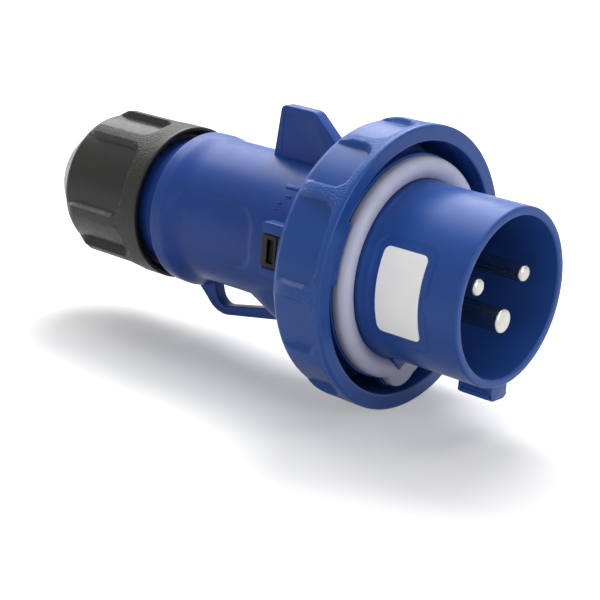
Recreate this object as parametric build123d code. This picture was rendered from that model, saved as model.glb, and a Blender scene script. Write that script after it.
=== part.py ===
from build123d import *
import math
import os

os.makedirs("parts", exist_ok=True)

# Frame: X runs along the plug and points out of the contacts, Z is up through the fin.
# The origin is the centre of the shroud's front face. All sizes are in millimetres.

# Shroud
shroud_r = 29.0
shroud_wall = 3.0
shroud_edge = 0.8
cavity_depth = 46.0
lip_t = 2.0
lip_w = 1.5
key_w = 8.3
key_h = 4.6
key_len = 13.5
key_corner = 1.6
key_pocket_depth = 0.5
key_pocket_margin = 1.2

# Label and its panel
panel_front = 11.0
panel_len = 23.0
panel_h = 34.0
panel_depth = 0.3
panel_corner = 4.0
label_front = 14.3
label_len = 16.3
label_h = 27.0
label_lift = 0.5
label_t = 0.25
label_corner = 2.5
stamp_gap = 0.8
stamp_w = 2.4
stamp_h = 5.6

# Face seal
seal_front = 36.6
seal_thick = 4.9
seal_inset = 0.7
seal_lip_back = 0.7
seal_crown_back = 1.3
seal_edge_back = 3.4
seal_low_share = 0.29
seal_high_share = 0.75
seal_lobe_r = 7.8
seal_lobe_reach = 3.7
seal_lobe_step = 2.2
tab_half_w = 2.8
tab_tip_r = 34.5
tab_t = 3.6

# Flange, shoulder and neck behind the seal
rim_gap = 4.5
flange_t = 3.5
flange_lobe_r = 9.3
flange_lobe_reach = 3.6
shoulder_step = 3.5
shoulder_len = 12.2
neck_over_grip = 4.6
neck_len = 5.8

# Coupling ring
ring_r = 47.0
ring_wall = 5.3
ring_lead = 0.3
ring_len = 24.9
ring_web = 5.2
ring_side_play = 0.3
ring_bore_play = 0.3
ring_round_len = 12.7
ring_round_drop = 8.8
ring_edge = 0.8
ring_pocket_start = 5.2
ring_pocket_depth = 2.0
ring_pocket_corner = 3.0
ring_pocket_draft = 30.0
cutter_over = 9.0
ring_land_deg = 7.4
ring_wide_pitch = 40.5
ring_narrow_count = 5
ring_turn_deg = 162.0
lug_half_deg = 14.5
lug_reach = 4.0
lug_set_back = 1.0
lug_t = 4.6

# Contacts
contact_y = 12.55
contact_z = 4.75
contact_r = 3.0
contact_set_back = 3.5
contact_dome = 1.4
earth_z = -8.0
earth_r = 4.0
earth_set_back = 1.85
earth_edge = 0.7
barrel_step = 1.2
barrel_front = 4.0
barrel_gap = 0.05
root_step = 0.3
root_ahead = 0.2
wire_wall = 1.7
wire_depth = 14.0

# Contact carrier, cover and screws
carrier_gap = 0.1
carrier_disc_t = 6.5
carrier_block_r = 21.8
carrier_len = 26.0
cover_t = 3.0
cover_screw_y = 11.5
cover_screw_z = -10.5
cover_screw_top = 14.0
screw_gap = 0.05
cover_screw_r = 1.5
cover_screw_len = 12.0
cover_head_r = 2.8
cover_head_t = 1.9
terminal_screw_r = 2.0
terminal_screw_len = 6.0
terminal_well_r = 3.0
terminal_back = 6.5
terminal_seat = 1.4
slot_w = 0.7
slot_deep = 0.8

# Handle
handle_end = 131.0
handle_bore = 22.2
handle_r = 24.9
handle_lift = 1.3
handle_collar_r = 27.0
handle_collar_len = 5.0
handle_blend = 8.0
front_flange_over = 7.6
front_flange_t = 3.5
spigot_gap = 0.15
body_seal_back = 3.5
body_seal_sec = 0.85
bayonet_lug_h = 1.2
bayonet_lug_t = 2.5
bayonet_lug_back = 4.0
bayonet_lug_deg = 16.0
bayonet_gap = 0.2
thumb_start = 86.0
thumb_len = 39.0
thumb_h = 24.0
thumb_depth = 0.6
thumb_corner = 9.0
waist_len = 6.0

# Fin, chin and strap on the handle
fin_t = 5.0
fin_edge = 1.0
fin_back = 98.7
fin_top = 43.4
fin_lean = 2.4
fin_top_len = 14.5
fin_slope_run = 12.5
fin_slope_drop = 10.8
fin_corner = 2.2
fin_panel_depth = 0.5
chin_start = 99.0
chin_full = 84.0
chin_r = 19.0
chin_bottom = 30.8
strap_w = 5.0
strap_t = 3.8
strap_knee = 116.5
strap_drop = 35.9
strap_rise = 5.1
strap_run = 26.5

# Sliding latches and rails
latch_h = 11.0
latch_t = 2.3
latch_gap = 0.2
latch_back = 79.5
latch_front = 69.0
latch_travel = 3.0
tongue_h = 8.0
tongue_t = 1.5
tongue_shift = 1.3
tongue_reach = 2.4
rail_h = 3.9
rail_proud = 0.2
latch_slot_w = 2.4
latch_slot_h = 8.0
latch_slot_deep = 1.1
latch_slot_back = 4.0
latch_rib_t = 1.0

# Cable gland
boss_r = 22.4
boss_len = 21.0
boss_bore = 18.8
boss_shoulder = 5.0
boss_throat = 16.0
boss_neck_in = 2.6
boss_neck_len = 6.0
nut_gap = 7.0
nut_thread_gap = 0.3
nut_r = 27.3
nut_lip_w = 1.3
nut_lip_edge = 0.4
nut_mouth_w = 3.3
nut_mouth_len = 3.5
nut_grip_len = 33.5
nut_taper_len = 5.0
nut_taper_r = 25.6
nut_dome_len = 13.5
nut_dome_rise = 6.3
nut_end_r = 12.4
nut_hole_r = 10.8
nut_thread_len = 23.5
nut_pocket_start = 10.5
nut_pocket_depth = 2.5
nut_pocket_corner = 3.0
nut_pocket_draft = 25.0
nut_land_deg = 11.0
nut_wide_pitch = 72.0
nut_narrow_count = 3
nut_turn_deg = 158.0
cage_gap = 0.3
cage_wall = 2.7
cage_len = 36.5
cage_base = 15.0
cage_fingers = 8
cage_slot = 1.6
cage_tip_in = 2.4
sleeve_wall = 4.6
sleeve_len = 26.0
thrust_t = 3.0
thrust_play = 0.3

# Stations along X that follow from the sizes above
seal_back = seal_front + seal_thick
flange_back = seal_back + flange_t
shoulder_back = flange_back + shoulder_len
neck_back = shoulder_back + neck_len
ring_back = neck_back - ring_side_play
ring_front = ring_back - ring_len
web_front = ring_back - ring_web
inner_r = shroud_r - shroud_wall
ring_bore = ring_r - ring_wall
flange_r = ring_bore - rim_gap
flange_lobe_tip = flange_r + flange_lobe_reach
seal_r = flange_r - seal_inset
seal_lobe_tip = seal_r + seal_lobe_reach
neck_r = handle_r + neck_over_grip
shoulder_r = neck_r + shoulder_step
front_flange_r = handle_r + front_flange_over
carrier_back = cavity_depth + carrier_len
disc_back = cavity_depth + carrier_disc_t
cover_back = carrier_back + cover_t
spigot_r = inner_r - spigot_gap
flange_rear = neck_back + front_flange_t
boss_end = handle_end + boss_len
boss_neck_r = handle_collar_r - boss_neck_in
nut_front = handle_end + nut_gap
nut_grip_end = nut_front + nut_grip_len
nut_taper_end = nut_grip_end + nut_taper_len
nut_end = nut_taper_end + nut_dome_len
cage_front = handle_end + boss_shoulder
cage_r = boss_bore - cage_gap
cage_end = cage_front + cage_len
sleeve_r = cage_r - cage_wall
thrust_back = cage_end + cage_gap + thrust_t


def turned(points):
    """Solid of revolution about X from (distance behind the origin, radius) points."""
    line = Polyline(*[(-x, 0, r) for x, r in points], close=True)
    return revolve(make_face(line), Axis.X)


def tube(front, back, outer, inner):
    """Plain tube between two stations."""
    return turned([(front, inner), (front, outer), (back, outer), (back, inner)])


def rod(front, back, r, y=0.0, z=0.0):
    """Round bar parallel to X."""
    return Pos(-(front + back) / 2, y, z) * Rot(0, 90, 0) * Cylinder(r, back - front)


def block(front, back, y0, y1, z0, z1):
    """Box between two stations."""
    centre = Pos(-(front + back) / 2, (y0 + y1) / 2, (z0 + z1) / 2)
    return centre * Box(back - front, y1 - y0, z1 - z0)


def side_pad(front, length, height, corner, near, far, side=-1, lift=0.0):
    """Rounded block that points out to one side, for panels that follow a round wall."""
    plane = Plane(origin=(-front - length / 2, side * near, lift), x_dir=(1, 0, 0), z_dir=(0, side, 0))
    return extrude(plane * RectangleRounded(length, height, corner), amount=far - near)


def grip_cutter(deg, half_deg, floor_r, start, end, corner, draft, top_r):
    """Cutter for one grip pocket that is open to the rear."""
    a = math.radians(deg)
    low = floor_r * math.cos(math.radians(half_deg)) - 1.0
    width = 2 * floor_r * math.sin(math.radians(half_deg))
    length = end - start
    plane = Plane(
        origin=(-(start + end) / 2, low * math.cos(a), low * math.sin(a)),
        x_dir=(1, 0, 0),
        z_dir=(0, math.cos(a), math.sin(a)),
    )
    prism = extrude(plane * RectangleRounded(length, width, corner), amount=top_r - low, taper=-draft)
    return prism - rod(start - cutter_over, end + cutter_over, floor_r)


def grip_angles(turn, wide_pitch, narrow_count):
    """Centre angle and pitch of each pocket: two wide ones with narrow ones between."""
    narrow_pitch = (180.0 - wide_pitch) / narrow_count
    out = []
    for half in (0, 180):
        out.append((turn + half, wide_pitch))
        for i in range(narrow_count):
            out.append((turn + half + wide_pitch / 2 + (i + 0.5) * narrow_pitch, narrow_pitch))
    return out


def sector(front, back, outer, inner, deg, half_deg):
    """Part of a tube, centred on an angle from +Y towards +Z."""
    far = outer * 2
    a0, a1 = math.radians(deg - half_deg), math.radians(deg + half_deg)
    tri = make_face(Polyline(
        (-front, 0, 0),
        (-front, far * math.cos(a0), far * math.sin(a0)),
        (-front, far * math.cos(a1), far * math.sin(a1)),
        close=True,
    ))
    wedge = extrude(tri, amount=back - front, dir=(-1, 0, 0))
    return tube(front, back, outer, inner) & wedge


def plain(shape):
    """One solid as a single body with no leftover scraps."""
    solids = shape.solids()
    return solids.sort_by(SortBy.VOLUME)[-1] if len(solids) == 1 else shape


# Front shell: shroud, flange, shoulder and neck in one turned body
shell = turned([
    (0, inner_r), (0, shroud_r), (seal_back, shroud_r), (seal_back, flange_r),
    (flange_back, flange_r), (flange_back, shoulder_r), (shoulder_back, shoulder_r),
    (shoulder_back, neck_r), (neck_back, neck_r), (neck_back, inner_r),
    (cavity_depth, inner_r), (cavity_depth, inner_r - lip_w),
    (cavity_depth - lip_t, inner_r - lip_w), (cavity_depth - lip_t, inner_r),
])
rim = shell.edges().filter_by(GeomType.CIRCLE).filter_by(lambda e: abs(e.center().X) < 1e-6)
shell = fillet(rim, shroud_edge)

# Keyway lug under the shroud mouth
key_out = shroud_r + key_h
key = block(shroud_edge, key_len, -key_w / 2, key_w / 2, -key_out, -shroud_r + 1.5)
key_long = key.edges().filter_by(Axis.X).filter_by(lambda e: e.center().Z < -shroud_r)
key = fillet(key_long, key_corner)
for side in (-1, 1):
    y0 = side * (key_w / 2 - key_pocket_depth)
    y1 = side * (key_w / 2 + 1)
    key -= block(shroud_edge + key_pocket_margin, key_len - key_pocket_margin,
                 min(y0, y1), max(y0, y1),
                 -key_out + key_corner, -shroud_r - key_pocket_margin / 2)
shell += key

# Lobe on the flange and the small tab that keys the seal
flange_lobe = rod(seal_back, flange_back, flange_lobe_r, 0, -flange_lobe_tip + flange_lobe_r)
shell += flange_lobe - rod(seal_back - 1, flange_back + 1, shroud_r - 1)
tab = make_face(Polyline(
    (-seal_back, -tab_half_w, -shroud_r + 1), (-seal_back, tab_half_w, -shroud_r + 1),
    (-seal_back, 0, -tab_tip_r), close=True,
))
tab = extrude(tab, amount=tab_t, dir=(1, 0, 0))
shell += tab

# Panels for the label on both sides, with a small raised pad in front of the label
panel_floor = shroud_r - panel_depth
for side in (-1, 1):
    pad = side_pad(panel_front, panel_len, panel_h, panel_corner, 10, shroud_r + 5, side)
    shell -= pad - rod(-1, panel_front + panel_len + cutter_over, panel_floor)
stamp = side_pad(label_front - stamp_gap - stamp_w, stamp_w, stamp_h, 0.6, 10, shroud_r + 5)
shell += (stamp & tube(panel_front, label_front, shroud_r - 0.1, panel_floor - 0.5))

# Bayonet groove, entry slots and latch notches in the neck
lug_front = neck_back - bayonet_lug_back - bayonet_lug_t
lug_back = neck_back - bayonet_lug_back
groove_r = inner_r + bayonet_lug_h + bayonet_gap
tongue_in = handle_r + latch_gap + tongue_shift
tongue_out = tongue_in + tongue_t
for deg in (90, 270):
    shell -= sector(lug_front - bayonet_gap, lug_back + bayonet_gap, groove_r, inner_r - 0.5,
                    deg - bayonet_lug_deg * 1.5, bayonet_lug_deg * 2.5)
    shell -= sector(lug_back - bayonet_lug_t, neck_back + 1, groove_r, inner_r - 0.5,
                    deg - bayonet_lug_deg * 3, bayonet_lug_deg)
notch_front = neck_back - tongue_reach - latch_gap
for side in (-1, 1):
    y0, y1 = sorted((side * (tongue_in - latch_gap), side * (tongue_out + latch_gap)))
    shell -= block(notch_front, neck_back + 1, y0, y1,
                   handle_lift - tongue_h / 2 - latch_gap, handle_lift + tongue_h / 2 + latch_gap)
front_shell = plain(shell)

# Label: a thin curved sheet on the panel floor
label_pad = side_pad(label_front, label_len, label_h, label_corner, 10, shroud_r + 5, lift=label_lift)
label = plain(label_pad & tube(label_front - 1, label_front + label_len + 1,
                               panel_floor + label_t, panel_floor))

# Face seal: soft profile, lobe over the key and a notch for the tab
seal_width = seal_r - shroud_r
seal_line = Spline(
    (-seal_front - seal_lip_back, 0, shroud_r), (-seal_front, 0, shroud_r + seal_low_share * seal_width),
    (-seal_front - seal_crown_back, 0, shroud_r + seal_high_share * seal_width),
    (-seal_front - seal_edge_back, 0, seal_r),
)
seal_rest = Polyline(
    (-seal_front - seal_edge_back, 0, seal_r), (-seal_back, 0, seal_r), (-seal_back, 0, shroud_r),
    (-seal_front - seal_lip_back, 0, shroud_r),
)
seal = revolve(make_face(seal_line + seal_rest), Axis.X)
lobe = rod(seal_front + seal_lobe_step, seal_back, seal_lobe_r, 0, -seal_lobe_tip + seal_lobe_r)
seal += lobe - rod(seal_front, seal_back + 1, shroud_r)
seal -= tab
face_seal = plain(seal)

# Coupling ring: turned body with a round rear corner, grip pockets and two inner lugs
ring_tail_r = ring_r - ring_round_drop
round_start = ring_back - ring_round_len
ring_curve = Spline(
    (-round_start, 0, ring_r),
    (-round_start - ring_round_len * 0.62, 0, ring_r - ring_round_drop * 0.28),
    (-ring_back, 0, ring_tail_r),
    tangents=((-1, 0, 0), (-0.45, 0, -1)),
)
web_bore = neck_r + ring_bore_play
ring_rest = Polyline(
    (-ring_back, 0, ring_tail_r), (-ring_back, 0, web_bore), (-web_front, 0, web_bore),
    (-web_front, 0, ring_bore), (-ring_front, 0, ring_bore), (-ring_front, 0, ring_r - ring_edge),
    (-ring_front - ring_edge, 0, ring_r), (-round_start, 0, ring_r),
)
ring = revolve(make_face(ring_curve + ring_rest), Axis.X)
ring_floor = ring_r - ring_pocket_depth
for deg, pitch in grip_angles(ring_turn_deg, ring_wide_pitch, ring_narrow_count):
    ring -= grip_cutter(deg, (pitch - ring_land_deg) / 2, ring_floor, ring_front + ring_pocket_start,
                        ring_back + 8, ring_pocket_corner, ring_pocket_draft, ring_r + 1)
for deg in (ring_turn_deg + 1.5, ring_turn_deg + 181.5):
    ring += sector(ring_front + lug_set_back, ring_front + lug_set_back + lug_t, ring_bore + 0.6,
                   ring_bore - lug_reach, deg, lug_half_deg)
coupling_ring = plain(ring)


def contact(tip, r, y, z, dome):
    """Round contact with a thin root, a thicker rear barrel and a wire hole."""
    wide = r + barrel_step
    root = cavity_depth - root_ahead
    step = cavity_depth + barrel_front
    body = rod(tip, root, r, y, z)
    nose = body.edges().filter_by(GeomType.CIRCLE).sort_by(Axis.X)[-1]
    body = fillet(nose, dome) + rod(root, step + 1, r - root_step, y, z)
    body += rod(step, carrier_back, wide, y, z)
    body -= rod(carrier_back - wire_depth, carrier_back + 1, wide - wire_wall, y, z)
    return body


def outward(y, z):
    """Unit vector from the plug axis to a contact, for its terminal screw."""
    n = math.hypot(y, z)
    return y / n, z / n


def radial_rod(y, z, start, length, r):
    """Round bar that points away from the axis at the terminal station."""
    uy, uz = outward(y, z)
    plane = Plane(
        origin=(-(carrier_back - terminal_back), y + uy * start, z + uz * start),
        x_dir=(1, 0, 0), z_dir=(0, uy, uz),
    )
    return extrude(plane * Circle(r), amount=length)


def terminal_screw(y, z):
    """Slotted set screw that bites on the wire."""
    uy, uz = outward(y, z)
    screw = radial_rod(y, z, terminal_seat, terminal_screw_len, terminal_screw_r)
    plane = Plane(
        origin=(-(carrier_back - terminal_back), y + uy * (terminal_seat + terminal_screw_len),
                z + uz * (terminal_seat + terminal_screw_len)),
        x_dir=(1, 0, 0), z_dir=(0, uy, uz),
    )
    slot = extrude(plane * Rectangle(terminal_screw_r * 3, slot_w), amount=-slot_deep)
    return screw - slot


# Contacts, each with a cross hole for its screw
places = {
    "line": (-contact_y, contact_z, contact_r, contact_set_back, contact_dome),
    "neutral": (contact_y, contact_z, contact_r, contact_set_back, contact_dome),
    "earth": (0.0, earth_z, earth_r, earth_set_back, earth_edge),
}
contacts, terminal_screws = {}, {}
for name, (y, z, r, tip, dome) in places.items():
    body = contact(tip, r, y, z, dome)
    contacts[name] = plain(body - radial_rod(y, z, 0, r + barrel_step + 2, terminal_screw_r + screw_gap))
    terminal_screws[name] = plain(terminal_screw(y, z))

# Contact carrier: front disc against the lip, block with contact bores and screw wells
carrier = rod(cavity_depth, disc_back, inner_r - carrier_gap)
carrier += rod(disc_back, carrier_back, carrier_block_r)
for name, (y, z, r, tip, dome) in places.items():
    carrier -= rod(cavity_depth - 1, carrier_back + 1, r - root_step + barrel_gap, y, z)
    carrier -= rod(cavity_depth + barrel_front, carrier_back + 1, r + barrel_step + barrel_gap, y, z)
    carrier -= radial_rod(y, z, r, carrier_block_r, terminal_well_r)
cover_spots = [(-cover_screw_y, cover_screw_z), (cover_screw_y, cover_screw_z), (0.0, cover_screw_top)]
for y, z in cover_spots:
    carrier -= rod(cover_back - cover_screw_len - 0.5, carrier_back + 1, cover_screw_r + screw_gap, y, z)
contact_carrier = plain(carrier)

# Carrier cover with wire holes
cover = rod(carrier_back, cover_back, carrier_block_r)
for name, (y, z, r, tip, dome) in places.items():
    cover -= rod(carrier_back - 1, cover_back + 1, r + barrel_step - wire_wall, y, z)
for y, z in cover_spots:
    cover -= rod(carrier_back - 1, cover_back + 1, cover_screw_r + screw_gap, y, z)
carrier_cover = plain(cover)

# Cover screws: three pan heads with a slot
screw_list = []
for y, z in cover_spots:
    screw = rod(cover_back - cover_screw_len, cover_back, cover_screw_r, y, z)
    screw += rod(cover_back, cover_back + cover_head_t, cover_head_r, y, z)
    screw -= block(cover_back + cover_head_t - slot_deep, cover_back + cover_head_t + 1,
                   y - slot_w / 2, y + slot_w / 2, z - cover_head_r * 1.2, z + cover_head_r * 1.2)
    screw_list.append(plain(screw))
cover_screws = Compound(children=screw_list)

# Handle body: spigot, front flange, collar and gland boss in one turned body
grip_core_r = handle_bore + 1.0
handle = turned([
    (disc_back, handle_bore), (disc_back, spigot_r), (neck_back, spigot_r),
    (neck_back, front_flange_r), (flange_rear, front_flange_r), (flange_rear, grip_core_r),
    (handle_end - handle_collar_len - 0.5, grip_core_r),
    (handle_end - handle_collar_len - 0.5, handle_collar_r - 0.3),
    (handle_end - handle_collar_len, handle_collar_r),
    (handle_end - 0.8, handle_collar_r), (handle_end, handle_collar_r - 0.8),
    (handle_end, boss_neck_r), (handle_end + boss_neck_len, boss_neck_r),
    (handle_end + boss_neck_len, boss_r), (boss_end, boss_r), (boss_end, boss_bore),
    (cage_front, boss_bore), (cage_front, boss_throat),
    (handle_end - 4, boss_throat), (handle_end - 4 - waist_len, handle_bore),
])

# Grip tube: set a little above the plug axis, with a soft blend into the collar
grip_back = handle_end - handle_collar_len - handle_blend
collar_front = handle_end - handle_collar_len
grip = rod(flange_rear - 0.5, grip_back, handle_r, 0, handle_lift)
blend_a = Plane(origin=(-grip_back, 0, handle_lift), x_dir=(0, 1, 0), z_dir=(1, 0, 0))
blend_b = Plane(origin=(-collar_front, 0, 0), x_dir=(0, 1, 0), z_dir=(1, 0, 0))
grip += loft([blend_b * Circle(handle_collar_r), blend_a * Circle(handle_r)])
waist = handle_end - 4 - waist_len
handle += grip - rod(disc_back, waist, handle_bore) - rod(waist - 1, handle_end, grip_core_r - 0.5)

# Chin: a cone that swells under the tube towards the ring
chin_rear = Plane(origin=(-chin_start, 0, 0), x_dir=(0, 1, 0), z_dir=(1, 0, 0))
chin_mid = Plane(origin=(-chin_full, 0, 0), x_dir=(0, 1, 0), z_dir=(1, 0, 0))
chin_small = chin_r * 0.8
chin = loft([
    chin_rear * Pos(0, -handle_r + 0.3 + chin_small) * Circle(chin_small),
    chin_mid * Pos(0, -chin_bottom + chin_r) * Circle(chin_r),
])
chin += rod(flange_rear - 1, chin_full, chin_r, 0, -chin_bottom + chin_r)
inside = rod(disc_back - 1, chin_start + 5, handle_bore)
handle += chin - inside - rod(disc_back, neck_back + 0.5, front_flange_r + cutter_over)

# Fin on top
fin_low = handle_r - 2
fin_points = [
    (-fin_back, fin_low), (-fin_back + fin_lean, fin_top), (-fin_back + fin_lean + fin_top_len, fin_top),
    (-fin_back + fin_lean + fin_top_len + fin_slope_run, fin_top - fin_slope_drop),
    (-flange_rear + 0.5, front_flange_r - 2), (-flange_rear + 0.5, fin_low),
]
fin_face = make_face(Polyline(*[(x, 0, z) for x, z in fin_points], close=True))
fin_tops = fin_face.vertices().filter_by(lambda v: v.Z > fin_top - 0.1)
fin_face = fillet(fin_tops, fin_corner)
fin = extrude(fin_face, amount=fin_t / 2, both=True)
panel_mid_x = -fin_back + fin_lean + fin_top_len / 2 + 1
panel_mid_z = (fin_top + handle_r) / 2 + 0.3
for side in (-1, 1):
    spot = Plane(origin=(panel_mid_x, side * (fin_t / 2 - fin_panel_depth), panel_mid_z),
                 x_dir=(1, 0, 0), z_dir=(0, side, 0))
    fin -= extrude(spot * RectangleRounded(fin_top_len * 0.8, (fin_top - handle_r) * 0.7, 1.5), amount=3)
handle += fin

# Strap below: a flat bail from the collar to the chin
knee_x = -strap_knee
strap_in = -handle_r + 2.4
strap_points = [
    (-handle_end + 0.6, strap_in), (-handle_end + 0.6, -handle_collar_r - 0.4),
    (-handle_end + 3.2, -handle_collar_r - 1.9),
    (knee_x - 6.9, -strap_drop + 2.8), (knee_x - 3.5, -strap_drop + 0.7), (knee_x, -strap_drop),
    (knee_x + strap_run, -strap_drop + strap_rise),
    (-flange_rear + 0.2, -front_flange_r + 2.5), (-flange_rear + 0.2, strap_in),
    (-chin_full, strap_in), (knee_x + strap_run - 9, -strap_drop + strap_rise + strap_t - 1.7),
    (knee_x + 1.2, -strap_drop + strap_t), (knee_x - 2.2, -strap_drop + strap_t + 1.0),
    (knee_x - 4.6, -strap_drop + strap_t + 3.4), (knee_x - 5.8, strap_in),
]
strap_face = make_face(Polyline(*[(x, 0, z) for x, z in strap_points], close=True))
strap = extrude(strap_face, amount=strap_w / 2, both=True)
handle += strap - rod(disc_back, handle_end - 5, grip_core_r - 0.5)

# Rails beside each latch, latch tracks and windows through the front flange
latch_in = handle_r + latch_gap
latch_out = latch_in + latch_t
rail_out = latch_out + rail_proud
for side in (-1, 1):
    for up in (-1, 1):
        z0, z1 = sorted((handle_lift + up * (latch_h / 2 + latch_gap),
                         handle_lift + up * (latch_h / 2 + latch_gap + rail_h)))
        y0, y1 = sorted((side * (handle_bore + 0.6), side * rail_out))
        rail = block(flange_rear - 0.5, latch_back, y0, y1, z0, z1)
        handle += rail - rod(flange_rear - 2, latch_back + 2, handle_bore + 0.4)
    y0, y1 = sorted((side * (tongue_in - latch_gap), side * (tongue_out + latch_gap)))
    handle -= block(neck_back - 1, flange_rear + 0.5, y0, y1,
                    handle_lift - tongue_h / 2 - latch_gap, handle_lift + tongue_h / 2 + latch_gap)

# Thumb panels, bayonet lugs and the groove for the body seal
for side in (-1, 1):
    pad = side_pad(thumb_start, thumb_len, thumb_h, thumb_corner, 10, handle_r + 4, side, handle_lift)
    handle -= pad - rod(thumb_start - cutter_over, thumb_start + thumb_len + cutter_over,
                        handle_r - thumb_depth, 0, handle_lift)
for deg in (90, 270):
    handle += sector(lug_front, lug_back, spigot_r + bayonet_lug_h, spigot_r - 0.5, deg, bayonet_lug_deg / 2)
groove_mid = disc_back + body_seal_back - body_seal_sec
groove_floor = inner_r - 2 * body_seal_sec
handle -= tube(groove_mid - body_seal_sec, groove_mid + body_seal_sec, spigot_r + 1, groove_floor)
handle_body = plain(handle)

# Body seal: round cord in the groove
ring_mid = inner_r - body_seal_sec
seal_plane = Plane(origin=(-groove_mid, 0, ring_mid), x_dir=(1, 0, 0), z_dir=(0, 1, 0))
body_seal = plain(revolve(seal_plane * Circle(body_seal_sec), Axis.X))


def latch(side):
    """Sliding catch with a finger slot, a rib and a tongue that reaches into the neck."""
    y0, y1 = sorted((side * latch_in, side * latch_out))
    low, high = handle_lift - latch_h / 2, handle_lift + latch_h / 2
    body = block(latch_front, latch_back, y0, y1, low, high)
    plane = Plane(origin=(-latch_back + latch_slot_back, side * (latch_out - latch_slot_deep), handle_lift),
                  x_dir=(1, 0, 0), z_dir=(0, side, 0))
    body -= extrude(plane * RectangleRounded(latch_slot_w, latch_slot_h, 0.6), amount=3)
    body -= block(latch_front + latch_rib_t, latch_back - latch_slot_back - latch_slot_w,
                  *sorted((side * (latch_out - 0.5), side * (latch_out + 1))), low - 1, high + 1)
    y0, y1 = sorted((side * tongue_in, side * tongue_out))
    body += block(neck_back - tongue_reach, latch_front + 1.0, y0, y1,
                  handle_lift - tongue_h / 2, handle_lift + tongue_h / 2)
    return plain(body)


latch_left = latch(-1)
latch_right = latch(1)

# Gland nut: turned body with an open mouth, a taper, a dome and grip pockets
dome = Spline(
    (-nut_taper_end, 0, nut_taper_r - 1.2),
    (-nut_taper_end - nut_dome_len * 0.52, 0, nut_end_r + nut_dome_rise),
    (-nut_end, 0, nut_end_r), tangents=((-0.8, 0, -1), (-0.6, 0, -1)),
)
thread_r = boss_r + nut_thread_gap
thread_back = nut_front + nut_thread_len
thrust_r = sleeve_r - 0.7
seat_r = thrust_r + thrust_play
nut_rest = Polyline(
    (-nut_front, 0, nut_r - nut_lip_edge), (-nut_front - nut_lip_edge, 0, nut_r),
    (-nut_grip_end, 0, nut_r), (-nut_taper_end, 0, nut_taper_r - 1.2),
)
nut_inner = Polyline(
    (-nut_end, 0, nut_end_r), (-nut_end, 0, nut_hole_r), (-thrust_back, 0, nut_hole_r),
    (-thrust_back, 0, seat_r), (-(thrust_back - thrust_t), 0, seat_r),
    (-thread_back, 0, cage_r + cage_gap), (-thread_back, 0, thread_r),
    (-nut_front - nut_mouth_len, 0, thread_r), (-nut_front - nut_mouth_len, 0, nut_r - nut_mouth_w),
    (-nut_front, 0, nut_r - nut_lip_w), (-nut_front, 0, nut_r - nut_lip_edge),
)
nut = revolve(make_face(nut_rest + dome + nut_inner), Axis.X)
nut_floor = nut_r - nut_pocket_depth
for deg, pitch in grip_angles(nut_turn_deg, nut_wide_pitch, nut_narrow_count):
    nut -= grip_cutter(deg, (pitch - nut_land_deg) / 2, nut_floor, nut_front + nut_pocket_start,
                       nut_end + 6, nut_pocket_corner, nut_pocket_draft, nut_r + 1)
gland_nut = plain(nut)

# Gland cage: base ring in the boss, fingers that the nut squeezes
tip_r = seat_r
cage = turned([
    (cage_front, sleeve_r), (cage_front, cage_r), (thread_back - 0.5, cage_r),
    (cage_end, tip_r - 0.3), (cage_end, sleeve_r - cage_tip_in),
    (cage_end - 4, sleeve_r - cage_tip_in), (cage_end - 6, sleeve_r),
])
for i in range(cage_fingers):
    slit = block(cage_front + cage_base, cage_end + 1, -cage_slot / 2, cage_slot / 2, 0, cage_r + 5)
    cage -= Rot(360 / cage_fingers * i, 0, 0) * slit
gland_cage = plain(cage)

# Gland seal: soft sleeve inside the cage
gland_seal = plain(tube(cage_front, cage_front + sleeve_len, sleeve_r, sleeve_r - sleeve_wall))

# Thrust ring between the cage tips and the nut
thrust_ring = plain(tube(cage_end + cage_gap, thrust_back, thrust_r, nut_hole_r + 0.4))

pieces = {
    "front_shell": front_shell,
    "label": label,
    "face_seal": face_seal,
    "coupling_ring": coupling_ring,
    "line_pin": contacts["line"],
    "neutral_pin": contacts["neutral"],
    "earth_pin": contacts["earth"],
    "line_screw": terminal_screws["line"],
    "neutral_screw": terminal_screws["neutral"],
    "earth_screw": terminal_screws["earth"],
    "contact_carrier": contact_carrier,
    "carrier_cover": carrier_cover,
    "cover_screws": cover_screws,
    "handle_body": handle_body,
    "body_seal": body_seal,
    "latch_left": latch_left,
    "latch_right": latch_right,
    "gland_nut": gland_nut,
    "gland_cage": gland_cage,
    "gland_seal": gland_seal,
    "thrust_ring": thrust_ring,
}
for name, piece in pieces.items():
    export_step(piece, f"parts/{name}.step")
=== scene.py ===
"""Looks of an industrial plug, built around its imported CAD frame.

All sizes in the classes are millimetres. Stations are distances behind the plug's front face,
so a point at station s has X = -s. Every finished mesh is in metres in the frame of the CAD.
"""

from __future__ import annotations

import logging
import math
from dataclasses import dataclass
from enum import Enum
from functools import cached_property
from typing import Iterable, Sequence

import bmesh
import bpy
from mathutils import Matrix, Vector
from mathutils.geometry import interpolate_bezier

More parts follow.
